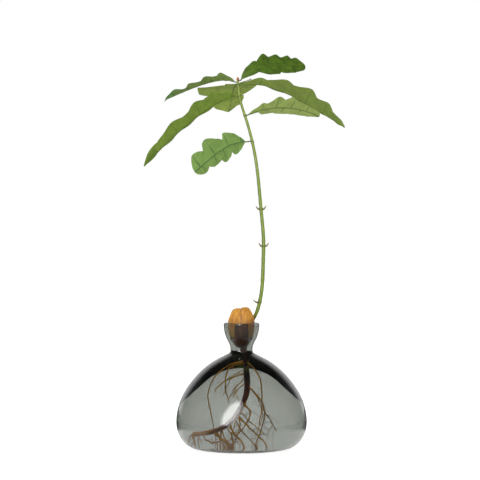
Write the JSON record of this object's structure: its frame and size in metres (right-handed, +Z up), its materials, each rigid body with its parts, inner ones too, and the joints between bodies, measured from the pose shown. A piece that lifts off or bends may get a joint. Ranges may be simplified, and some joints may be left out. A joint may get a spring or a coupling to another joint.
{
  "type": "glass bud vase",
  "caption": "Round smoked-glass bud vase with a pinched neck and a small open cup, which holds a sprouted acorn with its roots in the bulb and a leafy stem above.",
  "frame": {"origin": "middle of the flat foot, on the table", "axes": "+Z up along the vase axis, +Y away from the front, +X to the right of the front"},
  "size_m": [0.1819, 0.1354, 0.3675],
  "materials": {
    "smoked_glass": "clear polished blown glass, smoked blue-grey",
    "nut_flesh": "satin seed flesh, orange tan",
    "nut_shell": "glossy dark brown seed shell",
    "green_bark": "smooth green young bark",
    "bud_scale": "dry brown bud scale",
    "leaf_green": "satin living leaf",
    "root_bark": "wet dark brown root bark",
    "fine_root": "wet golden brown fine root"
  },
  "bodies": {
    "vase": {"glass_vase": "smoked_glass"},
    "seedling": {"acorn_half_left": "nut_flesh", "acorn_half_right": "nut_flesh", "seed_shell": "nut_shell", "root_collar": "root_bark", "stem": "green_bark", "terminal_bud": "bud_scale", "lower_scale_left": "bud_scale", "middle_scale_left": "bud_scale", "middle_scale_right": "bud_scale", "upper_scale_left": "bud_scale", "upper_scale_right": "bud_scale", "leaf_back": "leaf_green", "leaf_long_left": "leaf_green", "leaf_long_right": "leaf_green", "leaf_lower_left": "leaf_green", "leaf_lower_right": "leaf_green", "leaf_top_left": "leaf_green", "leaf_top_right": "leaf_green", "side_root_cross": "fine_root", "side_root_far_left": "fine_root", "side_root_far_right": "fine_root", "side_root_floor_left": "fine_root", "side_root_floor_middle": "fine_root", "side_root_floor_right": "fine_root", "side_root_left": "fine_root", "side_root_long": "fine_root", "side_root_loop": "fine_root", "side_root_right": "fine_root", "taproot": "root_bark", "taproot_fork": "fine_root"}
  },
  "joints": [
    {"name": "seedling_lift", "type": "slide", "parent": "vase", "child": "seedling", "axis": [0, 0, 1], "range_m": [0, 0.12], "deforming": ["side_root_cross", "side_root_far_left", "side_root_far_right", "side_root_floor_left", "side_root_floor_middle", "side_root_floor_right", "side_root_left", "side_root_long", "side_root_loop", "side_root_right", "taproot", "taproot_fork"]}
  ]
}
